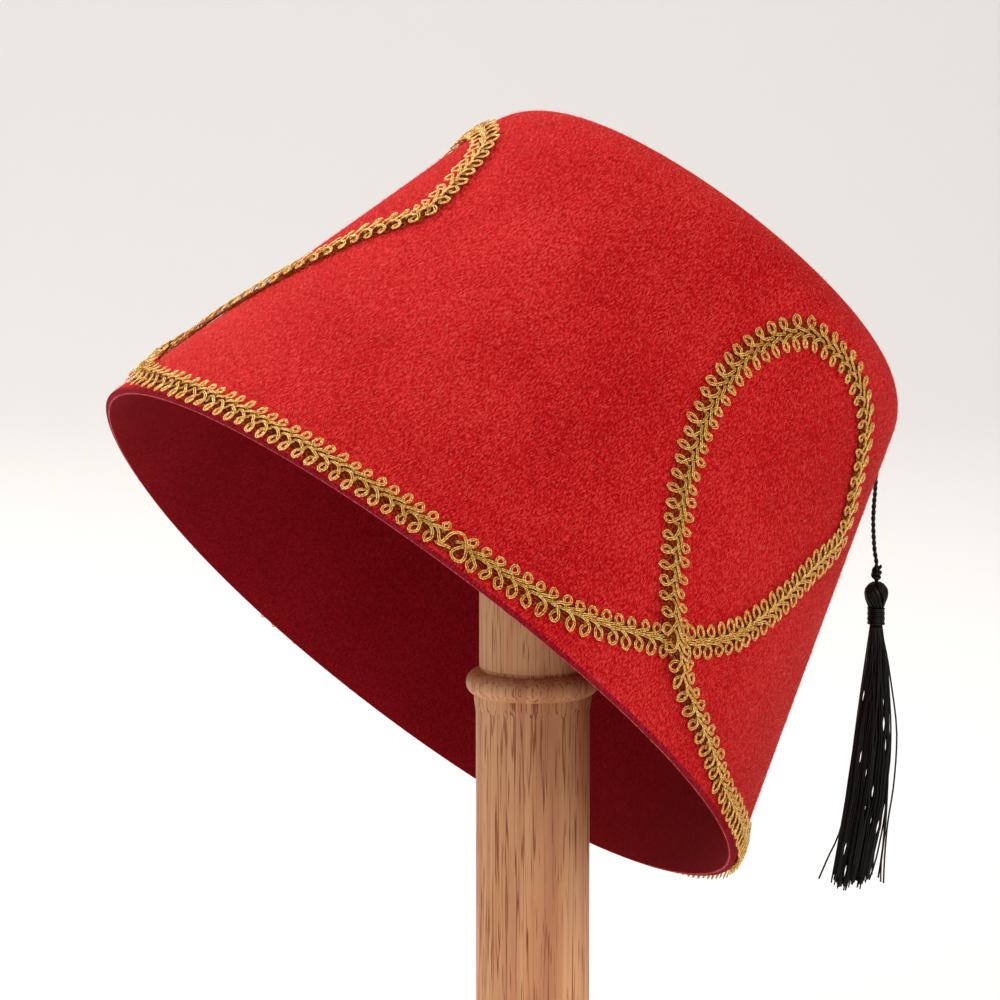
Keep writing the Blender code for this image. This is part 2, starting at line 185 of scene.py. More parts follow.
print("stage: camera")
viewOf = {
    "azimuth": math.radians(28.39),  # the view turns this far towards +X from +Y
    "elevation": math.radians(9),
    "distance": 1.6,
    "lens": 252.2,
    "sensor": 36,
    "target": Vector((-0.0135, -0.0090, 0.2178)),
}


def makeCamera():
    data = bpy.data.cameras.new("camera")
    data.lens = viewOf["lens"]
    data.sensor_width = viewOf["sensor"]
    data.clip_start = 0.1
    data.clip_end = 20
    camera = bpy.data.objects.new("camera", data)
    scene.collection.objects.link(camera)
    flat = math.cos(viewOf["elevation"])
    look = Vector((
        math.sin(viewOf["azimuth"]) * flat, math.cos(viewOf["azimuth"]) * flat, -math.sin(viewOf["elevation"])
    ))
    camera.location = viewOf["target"] - look * viewOf["distance"]
    camera.rotation_euler = look.to_track_quat("-Z", "Y").to_euler()
    scene.camera = camera


makeCamera()

print("stage: tassel and its cord")
cordOf = {
    "diameter": 0.0011, "plyRadius": 0.00031, "plyPitch": 0.0029, "step": 0.0004, "plySides": 2,
    "uneven": 0.05,
    "insideTassel": 0.0340,
    "route": (
        (0.0543, -0.0011, 0.2684), (0.0569, -0.0018, 0.2660), (0.0604, -0.0029, 0.2626),
        (0.0653, -0.0044, 0.2578), (0.0701, -0.0059, 0.2529), (0.0749, -0.0073, 0.2480),
        (0.0796, -0.0088, 0.2430), (0.0828, -0.0098, 0.2394), (0.0842, -0.0104, 0.2371),
        (0.0852, -0.0109, 0.2345), (0.0857, -0.0114, 0.2318), (0.0858, -0.0117, 0.2297),
        (0.0857, -0.0116, 0.2220), (0.0854, -0.0114, 0.2140), (0.0850, -0.0112, 0.2060),
        (0.0853, -0.0114, 0.1990), (0.0857, -0.0117, 0.1951),
    ),
}
gap = 0.0003  # between pieces that touch
tassel = {
    "knotRadius": 0.0013, "knotHeight": 0.0033, "knotThread": 0.00042, "knotTurns": 2.3, "frayedEnds": 7,
    "headHeight": 0.0062, "headThread": 0.00021, "headThreads": 30, "headTwist": 1.1,
    "neckRadius": 0.0020, "neckHeight": 0.0038, "neckTurns": 9, "neckThread": 0.00022,
    "skirtLength": 0.0640, "swayTurn": math.radians(151.6), "flatness": 0.55,
    "clumps": 24, "strandsPerClump": 13, "clumpSize": 0.14, "strandRadius": 0.00019, "strayShare": 1.25,
    "clumpTurn": 2.39996,  # radians from one clump to the next, which spreads them evenly
    "clumpReach": 0.93, "gatherEnd": 0.45,
    # Outline of the head: down from its top as a share of its height, radius in mm
    "head": ((0.00, 0.9), (0.10, 1.95), (0.26, 2.75), (0.45, 2.90), (0.66, 2.65), (0.85, 2.15), (1.00, 1.75)),
    # Skirt: down as a share of its length, half its width in mm, its middle's way to the swayed side in mm
    "skirt": (
        (0.00, 1.7, 0.0), (0.10, 2.8, -0.1), (0.283, 3.9, 0.15), (0.465, 4.4, 0.7),
        (0.658, 4.7, 2.0), (0.833, 4.6, 4.0), (1.00, 4.4, 6.0),
    ),
    # Slits where the strands part: share of the half width to the swayed side, share of the length down
    "slits": (
        (0.71, 0.27), (-0.54, 0.30), (-0.08, 0.41), (-0.72, 0.45), (0.55, 0.50), (-0.30, 0.63), (-0.05, 0.69),
        (-0.85, 0.76), (0.60, 0.84), (0.15, 0.56), (-0.62, 0.38), (0.35, 0.93), (-0.45, 0.74),
    ),
    "slitPush": 0.075, "slitReach": 0.16, "slitLength": 0.030,
    # Loose strands: points of mm away from the swayed side, mm down from the skirt's top
    "strays": (
        ((0.9, 0), (2.5, 7), (3.4, 12.4), (4.9, 22.9), (5.1, 30), (4.4, 39.5), (3.2, 47.6), (2.5, 56.2), (2.3, 62.4)),
        ((1.1, 0), (2.6, 9), (3.35, 18.1), (3.7, 25.2), (3.5, 33), (2.8, 39.5), (2.5, 46.7), (2.0, 53.8), (1.0, 61)),
        ((0.6, 0), (2.3, 11), (2.9, 22), (3.0, 34), (2.6, 44.8), (0.6, 56.2), (-1.1, 61.7)),
        ((0.8, 0), (2.4, 12), (2.8, 26), (2.4, 38), (1.3, 49), (0.0, 55), (-0.5, 60.4)),
        ((0.7, 0), (2.5, 10), (3.1, 20), (3.2, 31), (3.0, 41), (2.5, 50), (1.7, 57), (1.6, 62)),
        ((-1.2, 0), (-3.9, 20), (-6.6, 42), (-8.3, 50.5), (-10.4, 55.2), (-11.6, 58), (-13.0, 61.4)),
    ),
}
knotTop = np.array(cordOf["route"][-1]) - (0, 0, gap)
headTop = knotTop - (0, 0, tassel["knotHeight"] + gap)
skirtTop = headTop - (0, 0, tassel["headHeight"] + tassel["neckHeight"])
swayed = np.array([math.cos(tassel["swayTurn"]), math.sin(tassel["swayTurn"]), 0])
beside = np.array([-swayed[1], swayed[0], 0])


def makeBlackRayon():
    # Twisted rayon: deep black with narrow glossy lights along the threads
    made, tree, shader = newMaterial("twistedRayonBlack")
    coords = addNode(tree, "TexCoord").outputs["Object"]
    tone = addNode(tree, "TexNoise", inputs={"Vector": coords, "Scale": perMetre(0.8), "Detail": 2.0})
    ramp = addNode(tree, "ValToRGB", inputs={"Fac": tone.outputs["Fac"]})
    tree.links.new(setStops(ramp, [(0.3, "020202"), (0.7, "0B0B0C")]), shader.inputs["Base Color"])
    shader.inputs["Roughness"].default_value = 0.38
    shader.inputs["Specular IOR Level"].default_value = 0.24
    return made


blackRayon = makeBlackRayon()


def twistedPlies(path, offset, pitch, count):
    # Plies that wind round a path, with the path's own frame carried along it
    steps = np.linalg.norm(np.diff(path, axis=0), axis=1)
    along = np.concatenate([[0], np.cumsum(steps)])
    tangents = unit(np.gradient(path, axis=0))
    side = np.cross(tangents[0], (0, 1, 0))
    sides = []
    for tangent in tangents:
        side = side - tangent * side.dot(tangent)
        side = side / np.linalg.norm(side)
        sides.append(side)
    sides = np.array(sides)
    others = np.cross(tangents, sides)
    plies = []
    for index in range(count):
        angle = (math.tau * (along / pitch + index / count))[:, None]
        plies.append(path + offset * (sides * np.cos(angle) + others * np.sin(angle)))
    return plies


def makeTasselCord():
    # Past the knot the cord runs on through the head, and the skirt's strands hang from its end
    rng = np.random.default_rng(3)
    end = np.array(cordOf["route"][-1])
    inside = [end - (0, 0, cordOf["insideTassel"] * share) for share in (0.25, 0.5, 0.75, 1)]
    path = curveThrough(list(cordOf["route"]) + inside, cordOf["step"])
    plies = twistedPlies(path, cordOf["diameter"] / 2 - cordOf["plyRadius"], cordOf["plyPitch"], 2)
    radii = [np.clip(unevenness(rng, len(path), cordOf["uneven"]), 0.85, 1.12) for _ in plies]
    mesh = threadMesh("tasselCord", plies, cordOf["plyRadius"], cordOf["plySides"], radii)
    return addPiece("tasselCord", mesh, [blackRayon], ["tassel_cord"]), path


def makeTasselKnot():
    # A small overhand knot: the cord lies round itself twice, and its frayed end stands up
    rng = np.random.default_rng(5)
    height, thread = tassel["knotHeight"], tassel["knotThread"]
    angles = np.linspace(0, math.tau * tassel["knotTurns"], 60)
    share = angles / angles[-1]
    spread = (tassel["knotRadius"] - thread) * (0.55 + 0.5 * np.sin(math.pi * share))
    tilt = 0.0004 * np.sin(angles + 0.6)
    coil = knotTop + np.stack([
        spread * np.cos(angles), spread * np.sin(angles), -thread - share * (height - 2 * thread) + tilt], axis=1)
    middle = np.linspace(knotTop, knotTop - (0, 0, height), 8)
    threads = [coil, middle]
    radii = [1.0, 1.25 - 0.3 * np.linspace(-1, 1, 8) ** 2]
    start = knotTop - swayed * 0.0003 - (0, 0, 0.0009)
    for _ in range(tassel["frayedEnds"]):
        reach = rng.uniform(0.5, 1.1)
        way = -swayed * rng.uniform(0.0004, 0.0010) + beside * rng.uniform(-0.0004, 0.0004)
        bend, tip = start + way * 0.6 + (0, 0, 0.0005), start + way + (0, 0, 0.0013 * reach)
        threads.append(curveThrough([start, bend, tip], 0.0003))
        radii.append(0.3)
    mesh = threadMesh("tasselKnot", threads, thread, 2, radii)
    return addPiece("tasselKnot", mesh, [blackRayon], ["tassel_knot"])


def makeTasselHead():
    # Strands fold over the head on a slant, and a binding is wound round the neck
    rng = np.random.default_rng(9)
    height, thread = tassel["headHeight"], tassel["headThread"]
    head = np.array(tassel["head"])
    down = np.linspace(0.03, 1, 16)
    profile = np.interp(down, head[:, 0], head[:, 1]) / 1000 - thread
    threads, radii = [], []
    for index in range(tassel["headThreads"]):
        slant = tassel["headTwist"] * down * rng.uniform(0.75, 1.25)
        turn = math.tau * index / tassel["headThreads"] + rng.uniform(-0.08, 0.08) + slant
        radius = profile * rng.uniform(0.97, 1.02)
        threads.append(headTop + np.stack([
            radius * np.cos(turn), radius * np.sin(turn), -down * height], axis=1))
        radii.append(1.0)
    threads.append(headTop + np.stack([0 * down, 0 * down, -down * height], axis=1))
    radii.append(np.maximum(profile - thread, thread) / thread)  # a core that fills the head
    turns = tassel["neckTurns"]
    angle = np.linspace(0, math.tau * turns, turns * 16)
    bound = tassel["neckRadius"] - 0.0001 + 0.00008 * np.sin(angle * 0.37)
    threads.append(headTop + np.stack([
        bound * np.cos(angle), bound * np.sin(angle),
        np.linspace(-height + 0.0002, -height - tassel["neckHeight"], len(angle))], axis=1))
    radii.append(tassel["neckThread"] / thread)
    neck = np.linspace(headTop - (0, 0, height), skirtTop, 5)
    threads.append(neck)
    radii.append((tassel["neckRadius"] - 0.0002) / thread)
    mesh = threadMesh("tasselHead", threads, thread, 1, radii)
    return addPiece("tasselHead", mesh, [blackRayon])


def smoothShare(share):
    share = np.clip(share, 0, 1)
    return share * share * (3 - 2 * share)


def makeTasselSkirt():
    # The strands leave the neck evenly and gather into clumps on the way down
    rng = np.random.default_rng(7)
    skirt = np.array(tassel["skirt"])
    threads = []
    for clump in range(tassel["clumps"]):
        turn = clump * tassel["clumpTurn"]
        reach = math.sqrt((clump + 0.5) / tassel["clumps"]) * tassel["clumpReach"]
        centre = np.array([reach * math.cos(turn), reach * math.sin(turn)])
        clumpLength = rng.uniform(0.965, 1.0)
        drift = rng.uniform(-0.10, 0.10, 2)
        for _ in range(tassel["strandsPerClump"]):
            length = clumpLength * rng.uniform(0.94, 1.0)
            down = np.linspace(0, length, 41)
            startAngle, startReach = rng.uniform(0, math.tau), math.sqrt(rng.uniform(0, 1)) * 0.95
            start = startReach * np.array([math.cos(startAngle), math.sin(startAngle)])
            start = centre * 0.5 + start * 0.5
            away = rng.normal(0, tassel["clumpSize"] * 0.5, 2)
            gather = smoothShare(down / tassel["gatherEnd"])[:, None]
            place = start * (1 - gather) + (centre + away) * gather + drift * down[:, None] ** 2
            place += 0.035 * np.sin(down * rng.uniform(4, 9) + rng.uniform(0, 6))[:, None] * gather
            for across, slitDown in tassel["slits"]:
                side = float(np.interp(slitDown, down, place[:, 0])) - across
                push = math.copysign(tassel["slitPush"], side) * math.exp(-((side / tassel["slitReach"]) ** 2))
                place[:, 0] += push * np.exp(-(((down - slitDown) / tassel["slitLength"]) ** 2))
            half = np.interp(down, skirt[:, 0], skirt[:, 1])[:, None] / 1000
            sway = np.interp(down, skirt[:, 0], skirt[:, 2])[:, None] / 1000
            flat = 1 - (1 - tassel["flatness"]) * gather
            threads.append(
                skirtTop + swayed * (sway + half * place[:, :1]) + beside * (half * flat * place[:, 1:])
                - down[:, None] * tassel["skirtLength"] * np.array([0, 0, 1]))
    for index, stray in enumerate(tassel["strays"]):
        points = np.array(stray) / 1000
        shift = 0.0005 * math.sin(index * 2.1)
        threads.append(curveThrough(
            skirtTop - points[:, :1] * swayed + shift * beside - points[:, 1:] * np.array([0, 0, 1]), 0.003))
    strays = len(tassel["strays"])
    radii = [1.0] * (len(threads) - strays) + [tassel["strayShare"]] * strays
    mesh = threadMesh("tasselSkirt", threads, tassel["strandRadius"], 1, radii)
    return addPiece("tasselSkirt", mesh, [blackRayon], ["tassel"])


tasselCord, cordPath = makeTasselCord()
tasselKnot = makeTasselKnot()
tasselHead = makeTasselHead()
tasselSkirt = makeTasselSkirt()

print("stage: crown surface")
crown = {
    "rimRadius": 0.0950, "topRadius": 0.0562, "height": 0.1162, "topRise": 0.0020,
    "shoulderRadius": 0.0154, "wall": 0.0023,
    "headOval": 0.0065, "headOvalTurn": math.radians(64),
    "softCorners": 0.0023, "softCornersTurn": math.radians(57),
    "lean": math.radians(42.5), "seatBelowShoulder": 0.0049,
}
stand = {
    "height": 0.3000, "postRadius": 0.0132, "neckedRadius": 0.0124,
    "ringRadius": 0.0155, "ringHeight": 0.0058, "ringBelowTop": 0.1270,
    "lip": 0.0004, "lipHeight": 0.0014, "lipTaper": 0.0024,
    "groove": 0.0004, "grooveHeight": 0.0005, "grooveEnd": 0.0009,
    "baseRadius": 0.0650, "baseHeight": 0.0160, "baseEdge": 0.0050, "baseChamfer": 0.001,
    "tenonRadius": 0.0080, "tenonLength": 0.0100,
}
slope = math.atan2(crown["rimRadius"] - crown["topRadius"], crown["height"])
arcCentre = (
    crown["topRadius"] + crown["shoulderRadius"] * (math.tan(slope) - 1 / math.cos(slope)),
    crown["height"] - crown["shoulderRadius"],
)
sideLength = (arcCentre[1] + crown["shoulderRadius"] * math.sin(slope)) / math.cos(slope)
domeAngle = 2 * math.atan(crown["topRise"] / arcCentre[0])
domeRadius = crown["shoulderRadius"] + arcCentre[0] / math.sin(domeAngle)
shoulderLength = crown["shoulderRadius"] * (math.pi / 2 - domeAngle - slope)
wholeLength = sideLength + shoulderLength + domeRadius * domeAngle


def outlineAt(up):
    # Radius and height of the felt's outside, a distance up it from the rim
    up = np.asarray(up, float)
    angle = slope + (up - sideLength) / crown["shoulderRadius"]
    left = domeAngle - (up - sideLength - shoulderLength) / domeRadius
    onSide, onShoulder = up <= sideLength, up <= sideLength + shoulderLength
    radius = np.where(onSide, crown["rimRadius"] - up * math.sin(slope), np.where(
        onShoulder, arcCentre[0] + crown["shoulderRadius"] * np.cos(angle), domeRadius * np.sin(left)))
    height = np.where(onSide, up * math.cos(slope), np.where(
        onShoulder, arcCentre[1] + crown["shoulderRadius"] * np.sin(angle),
        crown["height"] + crown["topRise"] - domeRadius * (1 - np.cos(left))))
    return radius, height


def headShape(turn, height):
    oval = crown["headOval"] * np.cos(2 * (turn - crown["headOvalTurn"]))
    corners = crown["softCorners"] * np.cos(3 * (turn - crown["softCornersTurn"]))
    return (oval + corners) * np.clip(1 - height / crown["height"], 0, 1)


def crownPoints(turn, up):
    turn = np.asarray(turn, float)
    radius, height = outlineAt(up)
    radius = radius + headShape(turn, height)
    return np.stack([radius * np.cos(turn), radius * np.sin(turn), height], axis=-1)


def crownFrames(turn, up, step=1e-4):
    # The surface point, its slopes along the turn and up the felt, and its outward normal
    along = (crownPoints(turn + step, up) - crownPoints(turn - step, up)) / (2 * step)
    rise = (crownPoints(turn, up + step) - crownPoints(turn, up - step)) / (2 * step)
    return crownPoints(turn, up), along, rise, unit(np.cross(along, rise))


def hatPlace():
    # The felt rests on the post's domed top, as the solids do
    point, _, _, normal = crownFrames(
        np.array([math.pi]), np.array([sideLength - crown["seatBelowShoulder"]]))
    inside = point[0] - normal[0] * (crown["wall"] + gap + stand["neckedRadius"])
    lean = Matrix.Rotation(crown["lean"], 4, "Y")
    domeCentre = Vector((0, 0, stand["height"] - stand["neckedRadius"]))
    return Matrix.Translation(domeCentre - lean @ Vector(inside)) @ lean


hatMatrix = hatPlace()
hatTurn = np.array(hatMatrix.to_3x3())
hatSpot = np.array(hatMatrix.translation)


def toRow(points):
    # From the hat's own frame to the part's
    return np.asarray(points) @ hatTurn.T + hatSpot


print("stage: felt crown")
feltOf = {
    "steps": 216, "sideRows": 46, "shoulderRows": 14, "topRows": 16,
    "rimRounding": 0.0004, "lipWidth": 0.0004, "rimThinning": 0.32, "thinningReach": 0.0025,
    "paintedShadeRise": 0.0007,  # painted shade in the cut's darker colour reaches this far up the outside
    "grainWidth": 0.34, "grainLength": 1.9,  # mm, wider than the real fibres so that they show
    "fibres": 44000, "fibreLength": (0.4, 1.1), "fibreWidth": 0.07,  # mm
}


def makeRedFelt(name, deep, middle, light, sheen=0.06, grainDepth=0.0003):
    # Pressed wool felt: matt, with short fibres combed up the crown that catch the light as fine pale flecks
    made, tree, shader = newMaterial(name)
    coords = addNode(tree, "TexCoord").outputs["Object"]
    upright = addNode(tree, "Mapping", inputs={"Vector": coords, "Rotation": (0, -crown["lean"], 0)})
    combed = addNode(tree, "Mapping", inputs={
        "Vector": upright.outputs["Vector"], "Scale": (1, 1, feltOf["grainWidth"] / feltOf["grainLength"])})
    grain = addNode(tree, "TexNoise", inputs={
        "Vector": combed.outputs["Vector"], "Scale": perMetre(feltOf["grainWidth"]), "Detail": 3.0,
        "Roughness": 0.7, "Distortion": 0.1})
    cloud = addNode(tree, "TexNoise", inputs={
        "Vector": coords, "Scale": perMetre(30), "Detail": 2.0, "Roughness": 0.5})
    mixed = addNode(tree, "Math", {"operation": "MULTIPLY_ADD"}, {
        0: cloud.outputs["Fac"], 1: 0.16, 2: grain.outputs["Fac"]})
    ramp = addNode(tree, "ValToRGB", inputs={"Fac": mixed.outputs[0]})
    colour = setStops(ramp, [(0.44, deep), (0.58, middle), (0.72, light)])
    bump = addNode(tree, "Bump", inputs={
        "Strength": 0.8, "Distance": grainDepth, "Height": grain.outputs["Fac"]})
    tree.links.new(colour, shader.inputs["Base Color"])
    tree.links.new(bump.outputs["Normal"], shader.inputs["Normal"])
    shader.inputs["Roughness"].default_value = 0.95
    shader.inputs["Specular IOR Level"].default_value = 0.10
    shader.inputs["Sheen Weight"].default_value = sheen
    shader.inputs["Sheen Roughness"].default_value = 0.35
    shader.inputs["Sheen Tint"].default_value = toLinear("FF8A78")
    return made


redFelt = makeRedFelt("pressedWoolFelt", "960409", "C40D14", "E2403C")
# Inside felt: the same felt, its colour darkened as painted shade for the hat's dark hollow
insideFeltPaintedShade = makeRedFelt("pressedWoolFeltInsidePaintedShade", "740610", "8C0A16", "A01824", sheen=0.0)
# Dark maroon for the down-facing cut rim and the lowest outside strip: painted shade
edgeFeltPaintedShade = makeRedFelt("cutFeltEdgePaintedShade", "70000E", "94061C", "B42A3A", sheen=0.0)
# A pale pink line along the inner edge of the cut: painted highlight where that edge catches the light
lipPaintedHighlight = makeRedFelt("feltLipPaintedHighlight", "9C1828", "CC3C4C", "F68C8C", sheen=0.0)


def feltOutline():
    # The whole wall as one closed outline: inside from the axis down, round the cut rim, outside up
    ups = np.concatenate([
        [feltOf["rimRounding"]],
        np.linspace(feltOf["paintedShadeRise"], sideLength, feltOf["sideRows"], endpoint=False),
        np.linspace(sideLength, sideLength + shoulderLength, feltOf["shoulderRows"], endpoint=False),
        np.linspace(sideLength + shoulderLength, wholeLength, feltOf["topRows"]),
    ])
    step = 1e-5
    radius, height = outlineAt(ups)
    ahead, behind = outlineAt(ups + step), outlineAt(ups - step)
    normals = unit(np.stack([ahead[1] - behind[1], behind[0] - ahead[0]], axis=1))
    outside = np.stack([radius, height], axis=1)
    thinned = 1 - feltOf["rimThinning"] * np.exp(-ups / feltOf["thinningReach"])  # the moulded wall thins at the cut
    inside = outside - crown["wall"] * normals * thinned[:, None]
    outside[-1, 0] = inside[-1, 0] = 0
    across = -np.array([math.cos(slope), math.sin(slope)])  # through the wall, from the outside in
    corner = np.array([crown["rimRadius"], 0])
    cutWidth = crown["wall"] * thinned[0]
    rim = [corner + across * share * cutWidth for share in (0.03, 0.18, 0.5, 0.70, 0.84, 0.97)]
    rim[0] = rim[0] + (outside[0] - corner) * 0.28
    rim[-1] = rim[-1] + (outside[0] - corner) * 0.28
    return np.vstack([inside[::-1], rim[::-1], outside])


def makeFeltCrown():
    bm = spun([tuple(pair) for pair in feltOutline()], feltOf["steps"])
    middle = Vector((0, 0, crown["height"] * 0.4))
    innerEdge = crown["rimRadius"] - crown["wall"] * (1 - feltOf["rimThinning"]) * math.cos(slope)
    for face in bm.faces:
        centre = face.calc_center_median()
        radial = Vector((centre.x, centre.y, 0)).normalized()
        downhill = face.normal.dot(radial * math.sin(slope) - Vector((0, 0, math.cos(slope))))
        # Down-facing rim faces take the dark maroon as painted shade, and a pale line along the inner edge as a
        # painted highlight
        if centre.z < 0.0005 and downhill > 0.6:
            face.material_index = 3 if centre.xy.length < innerEdge + feltOf["lipWidth"] else 2
        # Faces turned inward take the darker inside felt, painted shade
        elif face.normal.dot(centre - middle) < 0:
            face.material_index = 1
        # The lowest strip of the outside also takes the dark maroon, painted shade
        elif centre.z < feltOf["paintedShadeRise"] * math.cos(slope):
            face.material_index = 2
    for vert in bm.verts:
        radius = vert.co.xy.length
        if radius > gap:
            turn = math.atan2(vert.co.y, vert.co.x)
            vert.co.xy *= 1 + float(headShape(turn, vert.co.z)) / radius
    bmesh.ops.transform(bm, matrix=hatMatrix, verts=bm.verts)
    mesh = meshFrom(bm, "feltCrown", 75)
    return addPiece("feltCrown", mesh, [redFelt, insideFeltPaintedShade, edgeFeltPaintedShade, lipPaintedHighlight], ["felt_crown"])


def makeNapFibre():
    # Loose wool fibres: paler than the pressed felt under them
    made, _, shader = newMaterial("looseWoolFibre")
    shader.inputs["Base Color"].default_value = toLinear("EE8276")
    shader.inputs["Roughness"].default_value = 0.9
    shader.inputs["Specular IOR Level"].default_value = 0.15
    return made


def makeFeltNap():
    # Short fibres that stand off the felt, each a slender closed spike of four faces
    rng = np.random.default_rng(21)
    count = feltOf["fibres"]
    steps = np.linspace(0.001, wholeLength - 0.002, 400)
    weights = outlineAt(steps)[0]
    up = rng.choice(steps, count, p=weights / weights.sum()) + rng.uniform(-1.6e-4, 1.6e-4, count)
    turn = rng.uniform(0, math.tau, count)
    point, along, rise, normal = crownFrames(turn, up)
    side, uphill = unit(along), unit(rise)
    lean = rng.normal(0, 0.35, (count, 1)) * side + rng.normal(0.7, 0.5, (count, 1)) * uphill
    heading = unit(lean + normal * rng.uniform(0.25, 0.9, (count, 1)))
    length = rng.uniform(*feltOf["fibreLength"], (count, 1)) / 1000
    half = feltOf["fibreWidth"] / 2000
    first = unit(np.cross(heading, normal))
    second = np.cross(heading, first)
    foot = point - normal * 0.00003
    corners = [
        foot + half * (first * math.cos(angle) + second * math.sin(angle))
        for angle in (0, math.tau / 3, 2 * math.tau / 3)]
    verts = np.stack(corners + [foot + heading * length], axis=1).reshape(-1, 3)
    start = (np.arange(count) * 4)[:, None, None]
    faces = start + np.array([(0, 2, 1), (0, 1, 3), (1, 2, 3), (2, 0, 3)])
    mesh = bpy.data.meshes.new("feltNap")
    mesh.from_pydata(toRow(verts).tolist(), [], faces.reshape(-1, 3).tolist())
    mesh.shade_smooth()
    return addPiece("feltNap", mesh, [makeNapFibre()])


makeFeltCrown()
makeFeltNap()

print("stage: gold braid")
braid = {
    "width": 0.0077, "rimMargin": 0.0004, "loopBelowTop": 0.0136,
    "thickness": 0.0012, "crossingFlat": 0.0052, "crossingRamp": 0.0060,
    # Degrees from the lean, share of the route's width, degrees that its rising stretch bends onward
    "loops": ((-89.2, 1.0, 0.0), (31.5, 1.0, 0.0), (152.5, 1.1, 3.0)),
    "curlPitch": 0.0035, "threadRadius": 0.00015, "threadApart": 0.00021, "pointStep": 0.0006,
    # The stems spring from a line this far out from the middle, and the other side's rings hang larger, but
    # on a loop's rising stretch and top, between these rows of the route, both sides are alike
    "spine": 0.0006, "evenRows": (3, 14), "evenRamp": 0.008,
    "relief": 1.4,  # times the heights of the curls and of the threads under them
    # How uneven the rings are: share, radians, then mm
    "ringSize": 0.12, "ringTurn": 0.26, "ringShift": 0.22, "ringTip": 0.55, "waver": 0.07,
    # The middle of the braid: turn as a share of a loop's sector, up from the rim band to the loop's top
    "route": (
        (-0.375, -0.005, 0), (-0.220, 0.006, 0), (-0.115, 0.045, 0), (-0.003, 0.150, 0), (0.084, 0.274, 0),
        (0.149, 0.426, 0), (0.207, 0.568, 0), (0.267, 0.682, 0), (0.254, 0.796, 0), (0.209, 0.925, 0),
        (0.127, 0.982, 0), (0.047, 0.989, 0), (-0.028, 0.960, 0), (-0.081, 0.865, 0), (-0.105, 0.744, 0),
        (-0.103, 0.610, 0), (-0.080, 0.452, 0), (-0.043, 0.302, 0), (-0.001, 0.158, 1), (0.060, 0.085, 0),
        (0.135, 0.034, 0), (0.230, -0.006, 0),
    ),
    # One curl of the cord on each side, in mm: forward along the braid, out from the spine, up from the felt
    "curls": {
        -1: (
            (-0.60, 0.15, 0.42), (0.40, 0.25, 0.80), (1.40, 0.50, 1.05), (2.30, 0.95, 1.12), (3.05, 1.55, 1.10),
            (3.55, 2.30, 1.00), (3.68, 3.05, 0.90), (3.40, 3.75, 0.80), (2.85, 4.08, 0.74), (2.25, 3.85, 0.70),
            (1.95, 3.20, 0.68), (2.00, 2.50, 0.66), (2.35, 1.95, 0.66), (2.75, 1.50, 0.56), (2.98, 1.00, 0.42),
            (3.00, 0.50, 0.34),
        ),
        1: (
            (-0.60, 0.15, 0.42), (0.40, 0.30, 0.80), (1.40, 0.45, 1.00), (2.30, 0.60, 1.10), (3.05, 0.85, 1.05),
            (3.60, 1.30, 0.95), (3.75, 1.85, 0.88), (3.55, 2.40, 0.80), (3.05, 2.80, 0.74), (2.45, 2.80, 0.70),
            (2.00, 2.30, 0.68), (1.92, 1.65, 0.66), (2.25, 1.20, 0.62), (2.70, 0.95, 0.50), (2.95, 0.65, 0.40),
            (3.00, 0.45, 0.34),
        ),
    },
    # Threads under the curls on each side: mm out from the spine, mm of waver, share of a pitch
    "under": {
        -1: ((0.40, 0.10, 0.0), (1.10, 0.22, 0.35), (1.80, 0.35, 0.75), (2.55, 0.40, 0.20)),
        1: ((0.35, 0.10, 0.0), (0.95, 0.18, 0.35), (1.55, 0.30, 0.75)),
    },
    "underRadius": 0.00021, "underHeight": 0.00024, "underStep": 0.0008,
    # Where the strip's two ends lap: degrees from the lean. One end is a bent stem and a larger ring over
    # the other, in mm forward, out from the spine, up.
    "lapTurn": -121.0, "lapStart": 7.85,
    "lap": (
        (
            (-6.2, 0.0, 0.9), (-4.8, 0.0, 1.1), (-3.8, -0.9, 1.2), (-3.0, -2.1, 1.2), (-2.1, -2.6, 1.2),
            (-1.75, -1.4, 1.3), (-1.5, 0.1, 1.4), (-0.6, 1.45, 1.4), (1.0, 1.85, 1.4), (2.4, 0.6, 1.4),
            (3.4, -1.35, 1.35), (3.8, -3.2, 1.2), (3.1, -4.2, 1.1), (1.7, -4.1, 1.0), (0.8, -3.1, 1.0),
            (1.2, -1.75, 1.0), (2.2, -0.5, 1.1), (3.0, 0.1, 1.0),
        ),
        ((-3.2, -2.9, 0.9), (-2.2, -3.1, 1.0), (-1.0, -2.6, 1.0), (0.2, -2.3, 0.9)),
    ),
}


def makeGoldGimp(name, deep, middle, light, metallic, roughness, specular):
    # Gimp cord wound with viscose thread: silky, brighter where the wraps face the light
    made, tree, shader = newMaterial(name)
    coords = addNode(tree, "TexCoord").outputs["Object"]
    wraps = addNode(tree, "TexNoise", inputs={
        "Vector": coords, "Scale": perMetre(0.4), "Detail": 3.0, "Roughness": 0.65})
    ramp = addNode(tree, "ValToRGB", inputs={"Fac": wraps.outputs["Fac"]})
    colour = setStops(ramp, [(0.36, deep), (0.50, middle), (0.62, light)])
    bump = addNode(tree, "Bump", inputs={"Strength": 0.7, "Distance": 0.00015, "Height": wraps.outputs["Fac"]})
    tree.links.new(colour, shader.inputs["Base Color"])
    tree.links.new(bump.outputs["Normal"], shader.inputs["Normal"])
    shader.inputs["Metallic"].default_value = metallic
    shader.inputs["Roughness"].default_value = roughness
    shader.inputs["Specular IOR Level"].default_value = specular
    return made


goldGimp = makeGoldGimp("viscoseGimpGold", "925004", "F4B03A", "FFF2A0", 0.25, 0.32, 0.6)
# The gold under threads, their dark brown colour painted shade for the gaps under the curls
underGimpPaintedShade = makeGoldGimp("viscoseGimpPaintedShade", "4E1400", "863004", "B66010", 0.0, 0.8, 0.1)


